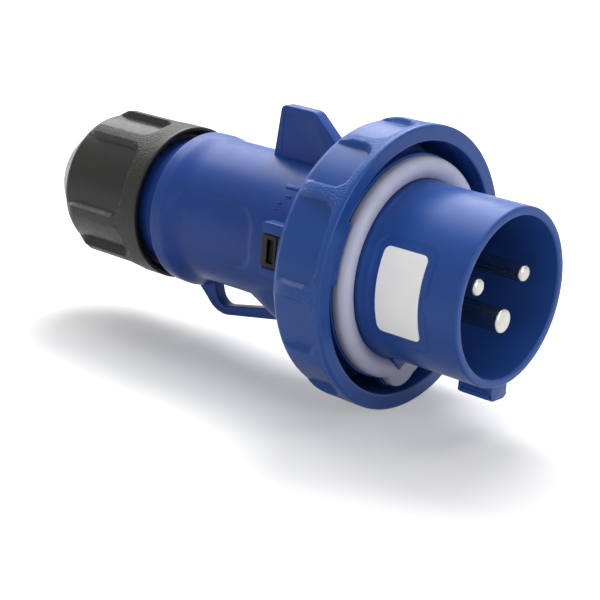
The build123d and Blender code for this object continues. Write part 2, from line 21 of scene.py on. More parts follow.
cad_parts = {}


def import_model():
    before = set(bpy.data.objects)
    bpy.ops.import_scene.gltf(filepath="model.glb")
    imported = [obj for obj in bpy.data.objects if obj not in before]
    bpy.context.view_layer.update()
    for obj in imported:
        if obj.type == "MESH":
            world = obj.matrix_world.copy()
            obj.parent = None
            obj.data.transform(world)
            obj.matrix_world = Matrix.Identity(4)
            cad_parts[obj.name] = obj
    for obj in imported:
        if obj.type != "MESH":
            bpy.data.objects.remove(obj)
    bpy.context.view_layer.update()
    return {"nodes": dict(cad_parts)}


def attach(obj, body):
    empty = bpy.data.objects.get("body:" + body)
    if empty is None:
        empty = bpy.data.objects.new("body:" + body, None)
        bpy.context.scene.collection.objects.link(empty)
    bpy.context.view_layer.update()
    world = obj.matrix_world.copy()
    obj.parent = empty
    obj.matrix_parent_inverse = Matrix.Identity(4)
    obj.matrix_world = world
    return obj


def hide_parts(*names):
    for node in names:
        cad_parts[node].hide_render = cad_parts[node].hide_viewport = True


Mesh = bmesh.types.BMesh
Material = bpy.types.Material
Socket = bpy.types.NodeSocket
Point = tuple[float, float]
Triple = tuple[float, float, float]
Outline = Sequence[tuple[float, ...]]
Colour = tuple[int, int, int]

LOG = logging.getLogger("industrial_plug")
MM = 0.001
WELD = 1e-4
SLICE = 1e-5
SHARP_DEG = 38.0
PROFILE_STEPS = 4
OUTLINE_STEPS = 6
GRAIN = "grain"
FAR = 99.0
WHITE = (1.0, 1.0, 1.0, 1.0)
X_AXIS = (1.0, 0.0, 0.0)
Y_AXIS = (0.0, 1.0, 0.0)
Z_AXIS = (0.0, 0.0, 1.0)


class Body(Enum):
    """Moving bodies of the CAD frame."""

    PLUG = "plug_body"
    RING = "ring"
    LATCH_LEFT = "latch_l"
    LATCH_RIGHT = "latch_r"
    NUT = "nut"


class Side(Enum):
    """The plug's two flanks, as the sign of Y."""

    LEFT = -1
    RIGHT = 1

    def span(self, inner: float, outer: float) -> Point:
        """Lowest and highest Y of what lies between two distances from the middle."""
        low, high = sorted((self.value * inner, self.value * outer))
        return low, high


class Rounding(Enum):
    """What a bevel rounds."""

    EDGES = "EDGES"
    CORNERS = "VERTICES"


class Join(Enum):
    """How one mesh changes another."""

    ADD = "UNION"
    CUT = "DIFFERENCE"


# Shape helpers


def smooth_step(value: float) -> float:
    """Rises softly from 0 to 1 as value goes from 0 to 1."""
    t = min(max(value, 0.0), 1.0)
    return t * t * (3.0 - 2.0 * t)


def soft_min(a: float, b: float, blend: float) -> float:
    """The lower of two values, with a rounded change-over as wide as blend."""
    h = max(blend - abs(a - b), 0.0) / blend
    return min(a, b) - h * h * blend * 0.25


def rounded_box_gap(u: float, v: float, half_u: float, half_v: float, corner: float) -> float:
    """Signed distance from a point to a rounded rectangle about the origin.

    Args:
        u: First coordinate of the point.
        v: Second coordinate of the point.
        half_u: Half the rectangle's first side.
        half_v: Half the rectangle's second side.
        corner: Corner radius.

    Returns:
        The distance, negative inside.
    """
    du = abs(u) - half_u + corner
    dv = abs(v) - half_v + corner
    return math.hypot(max(du, 0.0), max(dv, 0.0)) + min(max(du, dv), 0.0) - corner


def lobe_radius(angle: float, middle: float, radius: float) -> float:
    """How far a round lobe reaches from the axis in one direction.

    Args:
        angle: Angle from the direction of the lobe's middle, in radians.
        middle: Distance of the lobe's middle from the axis.
        radius: Radius of the lobe.

    Returns:
        The reach, or 0 where the lobe isn't met.
    """
    across = middle * math.sin(angle)
    if abs(across) >= radius or abs(angle) > math.pi / 2:
        return 0.0
    return middle * math.cos(angle) + math.sqrt(radius * radius - across * across)


def curve(start: Point, lean: Point, pull: Point, end: Point, count: int) -> list[Point]:
    """Points of a profile on a smooth curve, without its two ends.

    Args:
        start: Where the curve starts, as (station, radius).
        lean: Step from the start to its handle.
        pull: Step from the end to its handle.
        end: Where the curve ends.
        count: Number of points between the ends.

    Returns:
        The points between the ends.
    """
    steps = ((start, (0.0, 0.0)), (start, lean), (end, pull), (end, (0.0, 0.0)))
    handles = [Vector((p[0] + s[0], p[1] + s[1], 0.0)) for p, s in steps]
    return [(p.x, p.y) for p in interpolate_bezier(*handles, count + 2)[1:-1]]


def bevelled(bm: Mesh, geom: list, offset: float, segments: int,
             kind: Rounding = Rounding.EDGES, clamp: bool = False) -> None:
    """Rounds edges or corners of a mesh, and with clamp stops where two roundings meet."""
    bmesh.ops.bevel(bm, geom=geom, offset=offset, offset_type="OFFSET", segments=segments,
                    profile=0.5, affect=kind.value, clamp_overlap=clamp, material=-1)


def steep_edges(bm: Mesh, over: float) -> list[bmesh.types.BMEdge]:
    """Edges where two faces meet at more than an angle in radians."""
    return [e for e in bm.edges if e.calc_face_angle(0.0) > over]


def pulled(bm: Mesh, faces: Sequence[bmesh.types.BMFace], step: Triple) -> None:
    """Extrudes faces by a step.

    Args:
        bm: The mesh.
        faces: The faces that are extruded.
        step: How far the new faces are moved.
    """
    out = bmesh.ops.extrude_face_region(bm, geom=faces)
    moved = [g for g in out["geom"] if isinstance(g, bmesh.types.BMVert)]
    bmesh.ops.translate(bm, verts=moved, vec=step)


def sliced(bm: Mesh, spot: Triple, normal: Triple) -> None:
    """Divides a mesh's faces along a plane through a spot."""
    bmesh.ops.bisect_plane(bm, geom=bm.verts[:] + bm.edges[:] + bm.faces[:], dist=SLICE,
                           plane_co=spot, plane_no=normal)


def facing_out(bm: Mesh) -> None:
    """Turns every face of a closed mesh outwards."""
    bmesh.ops.recalc_face_normals(bm, faces=bm.faces[:])


def turned(profile: Outline, steps: int, cell: float = 0.0, cell_from: float = 0.0,
           centre: Point = (0.0, 0.0)) -> Mesh:
    """Turns a closed profile about an axis parallel to X.

    Args:
        profile: (station, radius) points in order, some with a third number that rounds them.
        steps: Faces around the axis.
        cell: Longest edge left along the outer walls, or 0 for no division.
        cell_from: Radius from which walls count as outer.
        centre: Y and Z of the axis.

    Returns:
        A closed mesh in millimetres.
    """
    bm = bmesh.new()
    verts = [bm.verts.new((-p[0], 0.0, p[1])) for p in profile]
    for a, b in zip(verts, verts[1:] + verts[:1]):
        bm.edges.new((a, b))
    for vert, point in zip(verts, profile):
        if len(point) > 2:
            bevelled(bm, [vert], point[2], PROFILE_STEPS, Rounding.CORNERS)
    if cell > 0.0:
        for edge in list(bm.edges):
            cuts = int(edge.calc_length() / cell)
            if cuts and min(v.co.z for v in edge.verts) >= cell_from:
                bmesh.ops.subdivide_edges(bm, edges=[edge], cuts=cuts)
    bmesh.ops.spin(bm, geom=bm.verts[:] + bm.edges[:], cent=(0, 0, 0), axis=X_AXIS,
                   dvec=(0, 0, 0), angle=math.tau, steps=steps, use_merge=True,
                   use_duplicate=False)
    bmesh.ops.remove_doubles(bm, verts=bm.verts[:], dist=WELD)
    bmesh.ops.dissolve_degenerate(bm, edges=bm.edges[:], dist=WELD)
    facing_out(bm)
    bmesh.ops.translate(bm, verts=bm.verts[:], vec=(0, *centre))
    return bm


def slab(outline: Outline, y_span: Point, soft: float, segments: int = 4) -> Mesh:
    """A flat piece with an outline in the XZ plane and rounded edges.

    Args:
        outline: (X, Z) points of the outline, some with a third number that rounds them.
        y_span: Y of its two faces.
        soft: Radius of the rounded edges.
        segments: Faces across each rounded edge.

    Returns:
        A closed mesh in millimetres.
    """
    bm = bmesh.new()
    verts = [bm.verts.new((p[0], y_span[0], p[1])) for p in outline]
    bm.faces.new(verts)
    for vert, point in zip(verts, outline):
        if len(point) > 2:
            bevelled(bm, [vert], point[2], OUTLINE_STEPS, Rounding.CORNERS)
    pulled(bm, bm.faces[:], (0, y_span[1] - y_span[0], 0))
    facing_out(bm)
    bevelled(bm, steep_edges(bm, over=0.9), soft, segments, clamp=True)
    return bm


def brick(low: Triple, high: Triple, soft: float = 0.0, segments: int = 3) -> Mesh:
    """A block between two corners with rounded edges.

    Args:
        low: Lowest corner.
        high: Highest corner.
        soft: Radius of the rounded edges, or 0 for sharp ones.
        segments: Faces across each rounded edge.

    Returns:
        A closed mesh in millimetres.
    """
    bm = bmesh.new()
    bmesh.ops.create_cube(bm, size=1.0)
    bmesh.ops.scale(bm, verts=bm.verts[:], vec=[h - l for l, h in zip(low, high)])
    bmesh.ops.translate(bm, verts=bm.verts[:], vec=[(h + l) / 2 for l, h in zip(low, high)])
    if soft > 0.0:
        bevelled(bm, bm.edges[:], soft, segments, clamp=True)
    return bm


def shaded(mesh: bpy.types.Mesh) -> None:
    """Shades a mesh smooth, apart from its sharp edges."""
    mesh.polygons.foreach_set("use_smooth", [True] * len(mesh.polygons))
    mesh.set_sharp_from_angle(angle=math.radians(SHARP_DEG))


def finished(name: str, parts: Iterable[Mesh], material: Material) -> bpy.types.Object:
    """Joins meshes into one object in metres.

    Args:
        name: Name of the piece.
        parts: The meshes, in millimetres. They are freed.
        material: The piece's material.

    Returns:
        The new object, at the origin.
    """
    mesh = bpy.data.meshes.new(name)
    whole = bmesh.new()
    for part in parts:
        step = bpy.data.meshes.new(name + "_part")
        part.to_mesh(step)
        part.free()
        whole.from_mesh(step)
        bpy.data.meshes.remove(step)
    bmesh.ops.scale(whole, verts=whole.verts[:], vec=(MM, MM, MM))
    whole.to_mesh(mesh)
    whole.free()
    shaded(mesh)
    mesh.materials.append(material)
    obj = bpy.data.objects.new(name, mesh)
    bpy.context.scene.collection.objects.link(obj)
    return obj


def combine(obj: bpy.types.Object, tool: bpy.types.Object, join: Join) -> None:
    """Adds or cuts one mesh with another, and removes the tool.

    Args:
        obj: The piece that is changed.
        tool: The mesh that is added or cut away.
        join: Whether it is added or cut away.
    """
    step = obj.modifiers.new("combine", "BOOLEAN")
    step.operation = join.value
    step.solver = "EXACT"
    step.object = tool
    bpy.context.view_layer.update()
    graph = bpy.context.evaluated_depsgraph_get()
    result = bpy.data.meshes.new_from_object(obj.evaluated_get(graph))
    obj.modifiers.remove(step)
    spare = (obj.data, tool.data)
    obj.data = result
    bpy.data.objects.remove(tool)
    for mesh in spare:
        bpy.data.meshes.remove(mesh)
    shaded(result)


def place(obj: bpy.types.Object, body: Body, node: str) -> None:
    """Says what a finished piece rides on, which node it stands for.

    Args:
        obj: The piece.
        body: Body that it rides on.
        node: CAD node that it replaces.
    """
    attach(obj, body.value)
    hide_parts(node)
    LOG.info("%s on %s: %d faces", obj.name, body.value, len(obj.data.polygons))


# Finishes


@dataclass(frozen=True)
class Clouds:
    """A noise: the size of its cells in millimetres, its detail and its scale along each axis."""

    cell_mm: float
    detail: float = 2.0
    stretch: Triple = (1.0, 1.0, 1.0)


class Nodes:
    """The node tree of a material or world, with short calls for adding and linking."""

    def __init__(self, owner: Material | bpy.types.World) -> None:
        """Empties the tree of a material or world."""
        self.owner = owner
        owner.use_nodes = True
        self.tree = owner.node_tree
        self.tree.nodes.clear()

    @cached_property
    def place(self) -> Socket:
        """The object's own coordinates."""
        return self.add("ShaderNodeTexCoord").outputs["Object"]

    def add(self, kind: str, **settings: object) -> bpy.types.Node:
        """Adds a node.

        Args:
            kind: Type of the node.
            **settings: Its properties.

        Returns:
            The node.
        """
        node = self.tree.nodes.new(kind)
        for key, value in settings.items():
            setattr(node, key, value)
        return node

    def feed(self, socket: Socket, value: object) -> None:
        """Links an output to a socket, or sets the socket's value.

        Args:
            socket: The input.
            value: An output or a plain value.
        """
        if isinstance(value, Socket):
            self.tree.links.new(value, socket)
        else:
            socket.default_value = value

    def fed(self, kind: str, *inputs: object, **settings: object) -> Socket:
        """Adds a node and feeds its inputs in order.

        Args:
            kind: Type of the node.
            *inputs: Outputs or plain values for its first inputs.
            **settings: Its properties.

        Returns:
            Its first output.
        """
        node = self.add(kind, **settings)
        for socket, value in zip(node.inputs, inputs):
            self.feed(socket, value)
        return node.outputs[0]

    def math(self, operation: str, a: object, b: object) -> Socket:
        """One arithmetic step."""
        return self.fed("ShaderNodeMath", a, b, operation=operation)

    def noise(self, clouds: Clouds) -> Socket:
        """Adds a noise in the object's own coordinates.

        Args:
            clouds: What the noise is like.

        Returns:
            Its value.
        """
        mapping = self.add("ShaderNodeMapping")
        self.feed(mapping.inputs["Vector"], self.place)
        self.feed(mapping.inputs["Scale"], clouds.stretch)
        node = self.add("ShaderNodeTexNoise")
        self.feed(node.inputs["Vector"], mapping.outputs["Vector"])
        self.feed(node.inputs["Scale"], 1.0 / (clouds.cell_mm * MM))
        self.feed(node.inputs["Detail"], clouds.detail)
        return node.outputs["Fac"]

    def spread(self, value: Socket, low: float, high: float,
               start: float = 0.3, stop: float = 0.7) -> Socket:
        """Maps a value that goes from start to stop to one from low to high, clamped."""
        return self.fed("ShaderNodeMapRange", value, start, stop, low, high, clamp=True)

    def mix(self, factor: Socket, a: object, b: object) -> Socket:
        """Mixes two colours.

        Args:
            factor: Share of the second colour.
            a: First colour.
            b: Second colour.

        Returns:
            The mixed colour.
        """
        node = self.add("ShaderNodeMix", data_type="RGBA")
        for index, value in ((0, factor), (6, a), (7, b)):
            self.feed(node.inputs[index], value)
        return node.outputs[2]

    def bump(self, height: Socket, depth_mm: float, strength: object,
             below: Socket | None = None) -> Socket:
        """Adds relief on top of another normal.

        Args:
            height: Height of the relief, from 0 to 1.
            depth_mm: Its depth in millimetres.
            strength: Its strength.
            below: The normal under it.

        Returns:
            The new normal.
        """
        node = self.add("ShaderNodeBump")
        self.feed(node.inputs["Height"], height)
        self.feed(node.inputs["Strength"], strength)
        self.feed(node.inputs["Distance"], depth_mm * MM)
        if below is not None:
            self.feed(node.inputs["Normal"], below)
        return node.outputs["Normal"]

    def seen(self) -> Socket:
        """Tells rays from the camera, mirrors and glass from the others.

        Returns:
            A factor that is 1 for them.
        """
        path = self.add("ShaderNodeLightPath")
        total = path.outputs["Is Camera Ray"]
        for name in ("Is Glossy Ray", "Is Transmission Ray"):
            total = self.math("MAXIMUM", total, path.outputs[name])
        return total

    def surface(self, **sockets: object) -> Material:
        """Ends the tree in one Principled shader.

        Args:
            **sockets: Outputs or plain values of its inputs, named with _ for a space.

        Returns:
            The material.
        """
        shader = self.add("ShaderNodeBsdfPrincipled")
        for key, value in sockets.items():
            self.feed(shader.inputs[key.replace("_", " ")], value)
        self.feed(self.add("ShaderNodeOutputMaterial").inputs["Surface"], shader.outputs[0])
        return self.owner


def paint(*screen: int) -> tuple[float, ...]:
    """A screen colour of 0 to 255 as linear colour with full alpha."""
    parts = [part / 255.0 for part in screen]
    return (*(c / 12.92 if c <= 0.04045 else ((c + 0.055) / 1.055) ** 2.4 for c in parts), 1.0)


@dataclass(frozen=True)
class Grain:
    """Spark grain on the lands that a mesh marks, with painted highlights: paler specks that stand
    in for glints of light on the grain.
    """

    pits: Clouds
    depth_mm: float
    matt: float = 0.16
    painted_glint_share: float = 0.22
    painted_glint_span: Point = (0.35, 0.65)
    painted_glint_lift: int = 34


@dataclass(frozen=True)
class Finish:
    """A finish whose colour drifts between two tones, with uneven gloss and a fine skin."""

    name: str
    base: Colour
    deep: Colour
    roughness: Point
    drift: Clouds
    drift_share: float
    haze: Clouds
    skin: Clouds
    skin_depth_mm: float
    skin_strength: float
    specular: float = 0.5
    metallic: float = 0.0
    sheen: float = 0.0
    grain: Grain | None = None

    def build(self, n: Nodes) -> Material:
        """Builds the node tree.

        Args:
            n: Nodes of an empty material.

        Returns:
            The material.
        """
        tones = n.spread(n.noise(self.drift), 0.0, self.drift_share)
        colour = n.mix(tones, paint(*self.base), paint(*self.deep))
        roughness = n.spread(n.noise(self.haze), *self.roughness)
        normal = n.bump(n.noise(self.skin), self.skin_depth_mm, self.skin_strength)
        grain = self.grain
        if grain:
            mask = n.add("ShaderNodeAttribute", attribute_name=GRAIN).outputs["Fac"]
            pits = n.noise(grain.pits)
            normal = n.bump(pits, grain.depth_mm, mask, normal)
            roughness = n.math("ADD", roughness, n.math("MULTIPLY", mask, grain.matt))
            # Painted highlights: the grain's peaks on the lands are paled towards a lighter copy
            # of the base, standing in for glints of light on the grain.
            painted_glints = n.spread(pits, 0.0, grain.painted_glint_share, *grain.painted_glint_span)
            pale = paint(*[min(255, c + grain.painted_glint_lift) for c in self.base])
            colour = n.mix(n.math("MULTIPLY", painted_glints, mask), colour, pale)
        return n.surface(Base_Color=colour, Roughness=roughness, Normal=normal,
                         Specular_IOR_Level=self.specular, Metallic=self.metallic,
                         Sheen_Weight=self.sheen)

    def material(self) -> Material:
        """The finish as a material, made at its first use."""
        found = bpy.data.materials.get(self.name)
        return found or self.build(Nodes(bpy.data.materials.new(self.name)))


@dataclass(frozen=True)
class MouldedPlastic(Finish):
    """Injection-moulded plastic with a faint flow pattern."""

    roughness: Point = (0.28, 0.38)
    drift: Clouds = Clouds(11.0, 3.0, (0.5, 1.0, 1.0))
    drift_share: float = 0.75
    haze: Clouds = Clouds(3.0, 5.0)
    skin: Clouds = Clouds(0.35, 4.0)
    skin_depth_mm: float = 0.004
    skin_strength: float = 0.6


@dataclass(frozen=True)
class SoftRubber(Finish):
    """Matt elastomer with a dusty bloom."""

    roughness: Point = (0.45, 0.6)
    drift: Clouds = Clouds(6.0, 4.0)
    drift_share: float = 0.8
    haze: Clouds = Clouds(1.5, 3.0)
    skin: Clouds = Clouds(0.25, 3.0)
    skin_depth_mm: float = 0.008
    skin_strength: float = 0.5
    sheen: float = 0.15


@dataclass(frozen=True)
class PlatedMetal(Finish):
    """Turned metal with fine tool rings across X and slight tarnish."""

    roughness: Point = (0.16, 0.27)
    drift: Clouds = Clouds(2.4, 4.0)
    drift_share: float = 0.5
    haze: Clouds = Clouds(0.8, 3.0)
    skin: Clouds = Clouds(0.12, 1.0, (1.0, 0.03, 0.03))
    skin_depth_mm: float = 0.0025
    skin_strength: float = 0.45
    metallic: float = 1.0


@dataclass(frozen=True)
class VinylLabel(Finish):
    """Blank vinyl with a satin face."""

    roughness: Point = (0.34, 0.46)
    drift: Clouds = Clouds(5.0, 5.0)
    drift_share: float = 0.6
    haze: Clouds = Clouds(1.2)
    skin: Clouds = Clouds(0.5, 4.0)
    skin_depth_mm: float = 0.006
    skin_strength: float = 0.4


@dataclass(frozen=True)
class Palette:
    """Every finish of the plug."""

    shell: Finish = MouldedPlastic("shell_plastic", (36, 72, 140), (32, 64, 129), specular=0.2)
    ring: Finish = MouldedPlastic("ring_plastic", (29, 69, 137), (26, 61, 126), specular=0.24,
                                  grain=Grain(Clouds(0.6, 1.0), 0.25))
    handle: Finish = MouldedPlastic("handle_plastic", (31, 63, 132), (27, 55, 119), (0.32, 0.42),
                                    specular=0.2)
    nut: Finish = MouldedPlastic("nut_plastic", (34, 34, 32), (26, 26, 25), (0.26, 0.36),
                                 specular=0.26, grain=Grain(Clouds(0.65, 1.0), 0.22))
    latch: Finish = MouldedPlastic("latch_plastic", (12, 12, 11), (8, 8, 8), (0.3, 0.42),
                                   specular=0.25)
    insert: Finish = MouldedPlastic("insert_plastic", (24, 42, 70), (18, 34, 58), (0.45, 0.55))
    cage: Finish = MouldedPlastic("cage_plastic", (120, 122, 124), (104, 106, 108), (0.4, 0.5))
    seal: Finish = SoftRubber("seal_rubber", (178, 179, 200), (164, 166, 190))
    dark_rubber: Finish = SoftRubber("dark_rubber", (30, 30, 31), (44, 44, 46), (0.55, 0.7))
    pin: Finish = PlatedMetal("pin_metal", (196, 195, 191), (168, 166, 161))
    screw: Finish = PlatedMetal("screw_metal", (176, 177, 178), (140, 141, 143), (0.25, 0.4))
    label: Finish = VinylLabel("label_vinyl", (244, 243, 240), (238, 237, 234))


# Grip pockets


@dataclass(frozen=True)
class GripPockets:
    """Two wide grip pockets with equal narrow ones between, open towards the rear."""

    floor: float
    start: float
    draft_deg: float
    land_deg: float
    wide_pitch: float
    narrow_count: int
    turn_deg: float
    length: float = 40.0
    corner: float = 3.0
    blend: float = 0.5
    near_deg: float = 12.0
    land_fade: float = 0.5
    front_fade: float = 1.2

    def spots(self) -> list[Point]:
        """Works out where the pockets are.

        Returns:
            Centre angle and half width of each pocket, in degrees.
        """
        narrow = (180.0 - self.wide_pitch) / self.narrow_count
        out: list[Point] = []
        for half_turn in (0.0, 180.0):
            middle = self.turn_deg + half_turn
            out.append((middle, (self.wide_pitch - self.land_deg) / 2))
            for i in range(self.narrow_count):
                out.append((middle + self.wide_pitch / 2 + (i + 0.5) * narrow,
                            (narrow - self.land_deg) / 2))
        return out

    def floor_at(self, spots: Sequence[Point], station: float, angle_deg: float,
                 radius: float) -> Point:
        """Radius that the pockets leave at a point of the outer wall.

        Args:
            spots: Centre angle and half width of each pocket.
            station: Station of the point.
            angle_deg: Angle of the point, from +Y towards +Z.
            radius: Radius of the wall without pockets.

        Returns:
            The new radius, and how far outside the nearest pocket the point is.
        """
        slope = math.tan(math.radians(self.draft_deg))
        best = FAR
        for middle, half in spots:
            off = (angle_deg - middle + 180.0) % 360.0 - 180.0
            if abs(off) > half + self.near_deg:
                continue
            delta = math.radians(off)
            low = self.floor * math.cos(math.radians(half)) - 1.0
            rise = (radius * math.cos(delta) - low) * slope
            reach = self.length / 2
            wide = self.floor * math.sin(math.radians(half))
            gap = rounded_box_gap(station - self.start - reach, radius * math.sin(delta),
                                  reach + rise, wide + rise, self.corner + rise)
            best = min(best, gap)
        cut = -soft_min(-radius - best / slope, -self.floor, self.blend)
        return soft_min(radius, cut, self.blend), best

    def carve(self, bm: Mesh, inner: float, grain_from: float) -> None:
        """Presses the pockets into the outer wall and marks the grained lands.

        Args:
            bm: The turned mesh, about the X axis.
            inner: Points nearer to the axis than this aren't part of the outer wall.
            grain_from: Station from which the lands are grained.
        """
        grain = bm.verts.layers.float.new(GRAIN)
        spots = self.spots()
        for vert in bm.verts:
            station = -vert.co.x
            radius = math.hypot(vert.co.y, vert.co.z)
            if radius < inner:
                continue
            angle = math.degrees(math.atan2(vert.co.z, vert.co.y))
            new, gap = self.floor_at(spots, station, angle, radius)
            along = smooth_step((station - grain_from) / self.front_fade)
            vert[grain] = smooth_step(gap / self.land_fade) * along
            vert.co.y *= new / radius
            vert.co.z *= new / radius


# Sub-assemblies


@dataclass
class Assembly:
    """A sub-assembly that takes its finishes from the palette."""

    palette: Palette

    def build(self) -> None:
        """Builds and places the pieces."""
        raise NotImplementedError


@dataclass
class FrontShell(Assembly):
    """Shroud with label panels, key lug, flange, shoulder and neck."""

    shroud_r: float = 29.0
    root_r: float = 29.6
    root_flare: tuple[Point, ...] = ((34.8, 0.0), (36.0, 0.12), (37.2, 0.45))
    root_front: float = 38.0
    inner_r: float = 26.0
    lip_r: float = 24.5
    lip_len: float = 2.0
    cavity: float = 46.0
    seal_back: float = 41.5
    flange_back: float = 45.0
    flange_r: float = 37.2
    lobe_r: float = 9.3
    lobe_tip: float = 40.8
    shoulder_back: float = 57.2
    shoulder_r: float = 33.0
    neck_back: float = 63.0
    neck_r: float = 29.5
    mouth_edge: float = 0.8
    edge: float = 0.4
    shoulder_edge: float = 0.6
    rear_edge: float = 0.3
    lip_root: float = 0.5
    panel_mid: float = 22.5
    panel_half: Point = (11.5, 17.0)
    panel_corner: float = 4.0
    panel_depth: float = 0.3
    panel_soft: float = 0.7
    panel_stations: Point = (5.0, 36.0)
    panel_turn: float = 1.2
    stamp_mid: float = 12.3
    stamp_half: Point = (1.2, 2.8)
    stamp_corner: float = 0.6
    stamp_soft: float = 0.4
    key_front: float = 0.8
    key_len: float = 13.5
    key_half: float = 4.15
    key_low: float = 33.6
    key_top: float = 27.6
    key_corner: float = 1.6
    key_margin: Point = (1.2, 0.35)
    key_hollow: float = 0.5
    key_edge: float = 0.22
    tab_len: float = 4.1
    tab_sink: float = 0.5
    tab_corners: Outline = ((-2.8, -27.8), (2.8, -27.8), (0.0, -34.5))
    nib_back: float = 39.5
    nib_len: float = 3.4
    nib_corners: Outline = ((-9.0, -28.0), (1.0, -29.0), (-4.8, -32.8))
    wedge_edge: float = 0.3
    steps: int = 480
    cell: float = 0.6

    def panel_at(self, station: float, angle: float, near: bool) -> float:
        """Depth of the label panel at a point of the shroud.

        Args:
            station: Station of the point.
            angle: Its angle above the flank, in radians.
            near: Whether it is on the labelled flank, which has a small raised stamp.

        Returns:
            The depth.
        """
        along = self.shroud_r * math.sin(angle) if abs(angle) < self.panel_turn else FAR
        gap = rounded_box_gap(station - self.panel_mid, along, *self.panel_half, self.panel_corner)
        depth = self.panel_depth * smooth_step(-gap / self.panel_soft)
        if near:
            stamp = rounded_box_gap(station - self.stamp_mid, along, *self.stamp_half,
                                    self.stamp_corner)
            depth *= 1.0 - smooth_step(-stamp / self.stamp_soft)
        return depth

    def body(self) -> Mesh:
        """The turned shell, with its panels pressed in and the flange's lobe pulled out.

        Returns:
            A closed mesh in millimetres.
        """
        lip_front = self.cavity - self.lip_len
        profile = [(0.0, self.shroud_r, self.mouth_edge)]
        profile += [(station, self.shroud_r + rise) for station, rise in self.root_flare]
        profile += [
            (self.root_front, self.root_r), (self.seal_back, self.root_r),
            (self.seal_back, self.flange_r, self.edge),
            (self.flange_back, self.flange_r, self.edge),
            (self.flange_back, self.shoulder_r),
            (self.shoulder_back, self.shoulder_r, self.shoulder_edge),
            (self.shoulder_back, self.neck_r), (self.neck_back, self.neck_r, self.rear_edge),
            (self.neck_back, self.inner_r), (self.cavity, self.inner_r),
            (self.cavity, self.lip_r), (lip_front, self.lip_r, self.rear_edge),
            (lip_front, self.inner_r, self.lip_root), (0.0, self.inner_r, self.mouth_edge),
        ]
        bm = turned(profile, self.steps, self.cell, self.shroud_r - 0.1)
        middle = self.lobe_tip - self.lobe_r
        first, last = self.panel_stations
        for vert in bm.verts:
            station, radius = -vert.co.x, math.hypot(vert.co.y, vert.co.z)
            if self.shroud_r - 0.05 < radius < self.root_r + 1.0 and first < station < last:
                angle = math.atan2(vert.co.z, abs(vert.co.y))
                scale = (radius - self.panel_at(station, angle, vert.co.y < 0)) / radius
            elif radius > self.flange_r - 1.0 and station > self.seal_back - 0.5:
                down = math.atan2(abs(vert.co.y), -vert.co.z)
                scale = max(1.0, lobe_radius(down, middle, self.lobe_r) / self.flange_r)
            else:
                continue
            vert.co.y *= scale
            vert.co.z *= scale
        return bm

    def key(self) -> Mesh:
        """The key lug under the mouth, with a shallow hollow in each flank.

        Returns:
            A closed mesh in millimetres.
        """
        bm = brick((-self.key_len, -self.key_half, -self.key_low),
                   (-self.key_front, self.key_half, -self.key_top))
        low = [e for e in bm.edges if all(v.co.z < 1.0 - self.key_low for v in e.verts)
               and abs(e.verts[0].co.x - e.verts[1].co.x) > 1.0]
        bevelled(bm, low, self.key_corner, segments=6)
        for flank in [f for f in bm.faces if abs(f.normal.y) > 0.99]:
            for margin, depth in zip(self.key_margin, (0.0, -self.key_hollow)):
                bmesh.ops.inset_region(bm, faces=[flank], thickness=margin, depth=depth,
                                       use_even_offset=True)
        bevelled(bm, steep_edges(bm, over=0.6), self.key_edge, segments=2, clamp=True)
        return bm

    def wedge(self, back: float, length: float, corners: Outline) -> Mesh:
        """A small three-sided wedge at the seal.

        Args:
            back: Station of its rear face.
            length: Its length along X.
            corners: Y and Z of its three corners.

        Returns:
            A closed mesh in millimetres.
        """
        bm = bmesh.new()
        face = bm.faces.new([bm.verts.new((-back, y, z)) for y, z in corners])
        pulled(bm, [face], (length, 0, 0))
        facing_out(bm)
        bevelled(bm, bm.edges[:], self.wedge_edge, segments=3, clamp=True)
        return bm

    def build(self) -> None:
        """Builds and places the shell, with the wedge and the nib that key the seal."""
        tab = self.wedge(self.seal_back + self.tab_sink, self.tab_len, self.tab_corners)
        nib = self.wedge(self.nib_back, self.nib_len, self.nib_corners)
        obj = finished("shroud_shell", [self.body(), self.key(), tab, nib],
                       self.palette.shell.material())
        place(obj, Body.PLUG, "front_shell")


@dataclass
class BlankLabel(Assembly):
    """Thin rounded label on the floor of the near panel."""

    front: float = 14.3
    length: float = 16.3
    height: float = 27.0
    lift: float = 0.5
    corner: float = 2.0
    floor: float = 28.7
    thick: float = 0.25
    slices: int = 44

    def build(self) -> None:
        """Builds a flat sheet, divides it and wraps it round the shroud."""
        bm = bmesh.new()
        bmesh.ops.create_grid(bm, x_segments=1, y_segments=1, size=0.5)
        bmesh.ops.scale(bm, verts=bm.verts[:], vec=(self.length, self.height, 1.0))
        bevelled(bm, bm.verts[:], self.corner, 8, Rounding.CORNERS)
        pulled(bm, bm.faces[:], (0, 0, self.thick))
        facing_out(bm)
        for i in range(1, self.slices):
            sliced(bm, (0, self.height * (i / self.slices - 0.5), 0), Y_AXIS)
        for vert in bm.verts:
            radius = self.floor + vert.co.z
            angle = math.asin(max(-1.0, min(1.0, (vert.co.y + self.lift) / self.floor)))
            vert.co = Vector((-self.front - self.length / 2 + vert.co.x,
                              -radius * math.cos(angle), radius * math.sin(angle)))
        facing_out(bm)
        obj = finished("blank_label", [bm], self.palette.label.material())
        place(obj, Body.PLUG, "label")


